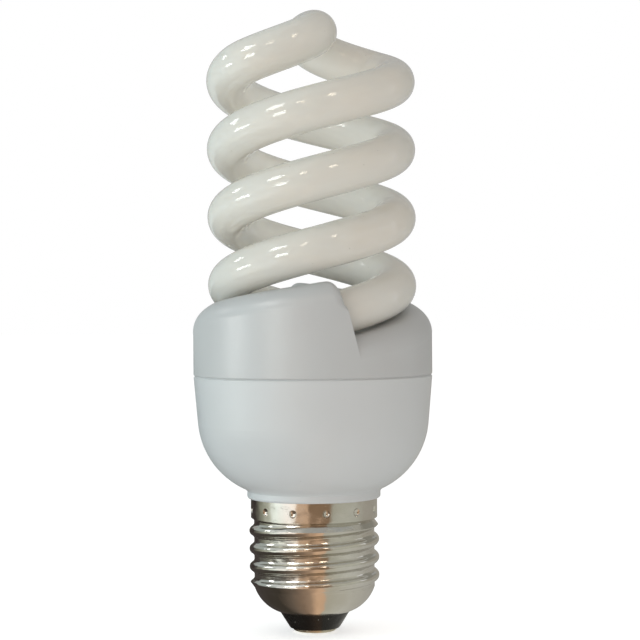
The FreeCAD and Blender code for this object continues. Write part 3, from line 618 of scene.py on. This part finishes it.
def makeSky(settings):
    world = bpy.data.worlds.new("studioSky")
    scene.world = world
    world.use_nodes = True
    tree = world.node_tree
    falling = tree.nodes["Background"]
    setInputs(falling, {"Color": rgb(*settings["skyColour"]), "Strength": settings["skyLight"]})
    shown = setInputs(addNode(tree, "ShaderNodeBackground"), {"Color": white, "Strength": 1.0})
    mix = addNode(tree, "ShaderNodeMixShader")
    join(
        tree,
        (seenDirectly(tree), mix.inputs["Fac"]),
        (falling.outputs[0], mix.inputs[1]),
        (shown.outputs[0], mix.inputs[2]),
        (mix.outputs[0], tree.nodes["World Output"].inputs["Surface"]),
    )


def makeFloor(settings):
    half = settings["floorSize"] / 2
    height = cadBox[0].z
    corners = [
        (-half, -half, height), (half, -half, height), (half, half, height), (-half, half, height),
    ]
    mesh = bpy.data.meshes.new("paleFloor")
    mesh.from_pydata(corners, [], [(0, 1, 2, 3)])
    floor = bpy.data.objects.new("paleFloor", mesh)
    scene.collection.objects.link(floor)
    material, tree, shader = newMaterial("paleFloor", {
        "Base Color": rgb(*settings["floorColour"]), "Roughness": settings["floorRoughness"],
        "Emission Color": white,
    })
    glow = setInputs(addNode(tree, "ShaderNodeMath", operation="MULTIPLY_ADD"), {
        1: settings["floorGlow"] - settings["floorBounce"], 2: settings["floorBounce"],
    })
    join(
        tree,
        (seenDirectly(tree), glow.inputs[0]),
        (glow.outputs[0], shader.inputs["Emission Strength"]),
    )
    mesh.materials.append(material)


# Lights: azimuth and elevation from the front, distance, width, height, brightness and colour.
# Those in lightOnly light the lamp without a sheen of their own. The others are the window panes
# and lamps that show in the glass, and give nothing but that reflection

lights = {
    "windowLight": (-72, 12, 0.85, 0.62, 0.60, 1.95, (0.65, 0.99, 1.10)),
    "lampGlow": (-10, 8, 0.80, 0.30, 0.30, 1.5, (1.0, 0.54, 0.30)),
    "lowFill": (-16, 0, 0.60, 0.9, 0.14, 1.1, (0.93, 1.0, 1.04)),
    "highPaneNear": (-54, 39, 0.55, 0.14, 0.13, 9.0, (1.0, 1.0, 0.98)),
    "lowPaneNear": (-33, 6, 0.55, 0.14, 0.13, 9.0, (0.98, 1.0, 0.97)),
    "lowPaneFar": (-77, -10, 0.50, 0.17, 0.17, 9.0, (1.0, 1.0, 0.97)),
    "highPaneFar": (-103, 25, 0.55, 0.10, 0.09, 6.0, (1.0, 1.0, 1.0)),
    "lampSpotLeft": (-17, 36, 0.55, 0.07, 0.09, 8.0, (1.0, 0.85, 0.68)),
    "lampSpotRight": (18, 38, 0.55, 0.07, 0.09, 8.0, (1.0, 0.85, 0.68)),
}
lightOnly = ("windowLight", "lampGlow", "lowFill")


def makeLight(name, azimuth, elevation, distance, width, height, brightness, colour):
    # Brightness 1 is as bright as a white surface in plain light
    data = bpy.data.lights.new(name, "AREA")
    data.shape = "RECTANGLE"
    data.size = width
    data.size_y = height
    data.energy = brightness * math.pi * width * height
    data.color = colour
    light = bpy.data.objects.new(name, data)
    aim = Vector(studio["aim"])
    light.location = aim + outward(azimuth, elevation) * distance
    light.rotation_mode = "QUATERNION"
    light.rotation_quaternion = (aim - light.location).to_track_quat("-Z", "Y")
    light.visible_camera = False
    light.visible_glossy = name not in lightOnly
    light.visible_diffuse = name in lightOnly
    scene.collection.objects.link(light)


# Light inside the coil stands for what the thin walls of the real, hollow tube let through
coilGlow = {
    "heights": (0.078, 0.097, 0.113), "radius": 0.006,
    "brightness": 1.05, "colour": (0.94, 1.0, 1.06),
}


def makeCoilGlow(settings):
    for height in settings["heights"]:
        data = bpy.data.lights.new("coilGlow", "POINT")
        data.shadow_soft_size = settings["radius"]
        data.energy = settings["brightness"] * (2 * math.pi * settings["radius"]) ** 2
        data.color = settings["colour"]
        light = bpy.data.objects.new("coilGlow", data)
        light.location = (0, 0, height)
        light.visible_camera = False
        light.visible_glossy = False
        scene.collection.objects.link(light)


# Cards that only reflections see: azimuth, distance, width, height and colour of each.
# Brown ones beside the camera, grey ones to the sides and behind, and two close to the cap

cards = {
    "warmCard": (-41, 0.62, 0.20, 0.50, (0.90, 0.74, 0.58)),
    "brownCard": (-2, 0.62, 0.66, 0.60, (0.30, 0.19, 0.12)),
    "greyCard": (64, 0.70, 0.90, 0.90, (0.60, 0.59, 0.50)),
    "farGreyCard": (128, 0.70, 0.60, 0.90, (0.30, 0.29, 0.25)),
    "leftBackCard": (-124, 0.70, 1.50, 0.90, (0.47, 0.52, 0.50)),
    "backCard": (178, 0.70, 0.80, 0.90, (0.42, 0.42, 0.41)),
    "nearBrownCard": (10, 0.124, 0.080, 0.12, (0.30, 0.19, 0.115)),
    "nearCopperCard": (-19, 0.124, 0.048, 0.075, (0.74, 0.50, 0.33)),
}


def newCard(name, corners, faces, colour):
    mesh = bpy.data.meshes.new(name)
    mesh.from_pydata([tuple(corner) for corner in corners], [], faces)
    card = bpy.data.objects.new(name, mesh)
    scene.collection.objects.link(card)
    material, tree, shader = newMaterial(name, {
        "Base Color": rgb(0, 0, 0), "Roughness": 1.0,
        "Emission Color": rgb(*colour), "Emission Strength": 1.0,
    })
    mesh.materials.append(material)
    for rays in ("visible_camera", "visible_diffuse", "visible_transmission", "visible_shadow"):
        setattr(card, rays, False)
    return tree, shader


def makeCard(name, azimuth, distance, width, height, colour):
    facing = outward(azimuth, 0)
    side = Vector((facing.y, -facing.x, 0)) * (width / 2)
    rise = Vector((0, 0, height))
    foot = facing * distance + Vector((0, 0, cadBox[0].z))
    corners = [foot - side, foot + side, foot + side + rise, foot - side + rise]
    newCard(name, corners, [(0, 1, 2, 3)], colour)


# The room that the glass and the cap mirror: a low ring of wall close to the lamp, the table
# inside and beyond it, and a ceiling. Each is lit all round: an azimuth from the front, and the
# light that comes from there

room = {
    "tableLift": 0.0005, "wallRadius": 0.13, "wallHeight": 0.05, "tableHole": 0.002,
    "farTableReach": (0.132, 0.90), "ceilingHeight": 0.55, "ceilingReach": (0.05, 0.90),
    "steps": 72, "brightest": 1.4,
}
roomLight = {
    "roomWall": [
        (-175, (0.08, 0.07, 0.06)), (-130, (0.04, 0.03, 0.03)), (-104, (0.34, 0.35, 0.28)),
        (-88, (0.66, 0.68, 0.58)), (-72, (1.24, 1.34, 1.26)), (-46, (1.38, 1.32, 1.24)),
        (-34, (1.38, 1.22, 1.08)), (-20, (0.90, 0.64, 0.44)), (-6, (0.36, 0.23, 0.14)),
        (26, (0.26, 0.17, 0.10)), (30, (0.50, 0.49, 0.41)), (49, (0.57, 0.57, 0.49)),
        (74, (0.55, 0.55, 0.48)), (104, (0.43, 0.40, 0.34)), (175, (0.38, 0.36, 0.32)),
    ],
    "roomTable": [
        (-175, (0.05, 0.04, 0.04)), (-60, (0.05, 0.04, 0.03)), (-36, (0.16, 0.12, 0.09)),
        (-18, (0.28, 0.19, 0.13)), (-6, (0.46, 0.31, 0.21)), (6, (0.85, 0.56, 0.36)),
        (15, (0.80, 0.54, 0.36)), (20, (0.58, 0.56, 0.47)), (60, (0.64, 0.63, 0.57)),
        (175, (0.30, 0.28, 0.25)),
    ],
    "farTable": [
        (-175, (0.48, 0.50, 0.50)), (-100, (0.62, 0.72, 0.74)), (-45, (0.70, 0.74, 0.72)),
        (-22, (0.52, 0.42, 0.36)), (20, (0.44, 0.37, 0.32)), (32, (0.46, 0.45, 0.42)),
        (175, (0.42, 0.42, 0.41)),
    ],
    "roomCeiling": [
        (-175, (0.40, 0.42, 0.42)), (-100, (0.75, 0.80, 0.80)), (-40, (0.95, 0.93, 0.88)),
        (-22, (0.60, 0.43, 0.32)), (20, (0.40, 0.28, 0.20)), (30, (0.52, 0.51, 0.45)),
        (110, (0.48, 0.47, 0.42)), (175, (0.38, 0.38, 0.36)),
    ],
}


def makeRoomPart(name, inner, outer, settings):
    # A ring of faces between two circles round the lamp, each a radius and a height
    steps = settings["steps"]
    corners = []
    for step in range(steps + 1):
        facing = outward(step * 360 / steps - 180, 0)
        corners += [facing * radius + Vector((0, 0, height)) for radius, height in (inner, outer)]
    faces = [(2 * i, 2 * i + 2, 2 * i + 3, 2 * i + 1) for i in range(steps)]
    tree, shader = newCard(name, corners, faces, (1.0, 1.0, 1.0))
    place = addNode(tree, "ShaderNodeTexCoord")
    split = addNode(tree, "ShaderNodeSeparateXYZ")
    forward = setInputs(addNode(tree, "ShaderNodeMath", operation="MULTIPLY"), {1: -1.0})
    azimuth = addNode(tree, "ShaderNodeMath", operation="ARCTAN2")
    share = addNode(tree, "ShaderNodeMath", operation="MULTIPLY_ADD")      # of the way round
    setInputs(share, {1: 0.5 / math.pi, 2: 0.5})
    ramp = addNode(tree, "ShaderNodeValToRGB")
    stops = ramp.color_ramp.elements
    while len(stops) < len(roomLight[name]):
        stops.new(0.5)
    for stop, (angle, colour) in zip(stops, roomLight[name]):
        stop.position = angle / 360 + 0.5
        stop.color = rgb(*[part / settings["brightest"] for part in colour])
    join(
        tree,
        (place.outputs["Object"], split.inputs[0]),
        (split.outputs["Y"], forward.inputs[0]),
        (split.outputs["X"], azimuth.inputs[0]),
        (forward.outputs[0], azimuth.inputs[1]),
        (azimuth.outputs[0], share.inputs[0]),
        (share.outputs[0], ramp.inputs["Fac"]),
        (ramp.outputs["Color"], shader.inputs["Emission Color"]),
    )
    setInputs(shader, {"Emission Strength": settings["brightest"]})


def makeRoom(settings):
    table = cadBox[0].z + settings["tableLift"]
    wall = settings["wallRadius"]
    tableNear, tableFar = settings["farTableReach"]
    ceilingNear, ceilingFar = settings["ceilingReach"]
    ceiling = settings["ceilingHeight"]
    makeRoomPart("roomTable", (settings["tableHole"], table), (wall, table), settings)
    makeRoomPart("roomWall", (wall, table), (wall, table + settings["wallHeight"]), settings)
    makeRoomPart("farTable", (tableNear, table), (tableFar, table), settings)
    makeRoomPart("roomCeiling", (ceilingNear, ceiling), (ceilingFar, ceiling), settings)


# Camera, as the photo was taken

camera = {
    "place": (0.0, -0.392, 0.0684), "aim": (0.0, 0.0, 0.062), "lens": 108.94, "sensor": 36.0,
    "shift": (0.0117, 0.0094), "roll": -0.486, "nearest": 0.01, "farthest": 20.0,
}


def makeCamera(settings):
    data = bpy.data.cameras.new("photoCamera")
    data.sensor_width = settings["sensor"]
    data.lens = settings["lens"]
    data.shift_x, data.shift_y = settings["shift"]
    data.clip_start = settings["nearest"]
    data.clip_end = settings["farthest"]
    place = Vector(settings["place"])
    look = (Vector(settings["aim"]) - place).to_track_quat("-Z", "Y").to_matrix().to_4x4()
    roll = Matrix.Rotation(math.radians(settings["roll"]), 4, "Z")
    photoCamera = bpy.data.objects.new("photoCamera", data)
    photoCamera.matrix_world = Matrix.Translation(place) @ look @ roll
    scene.collection.objects.link(photoCamera)
    scene.camera = photoCamera


makeSky(studio)
makeFloor(studio)
for lightName, values in lights.items():
    makeLight(lightName, *values)
makeCoilGlow(coilGlow)
for cardName, values in cards.items():
    makeCard(cardName, *values)
makeRoom(room)
makeCamera(camera)
print("floor, lights and camera ready")
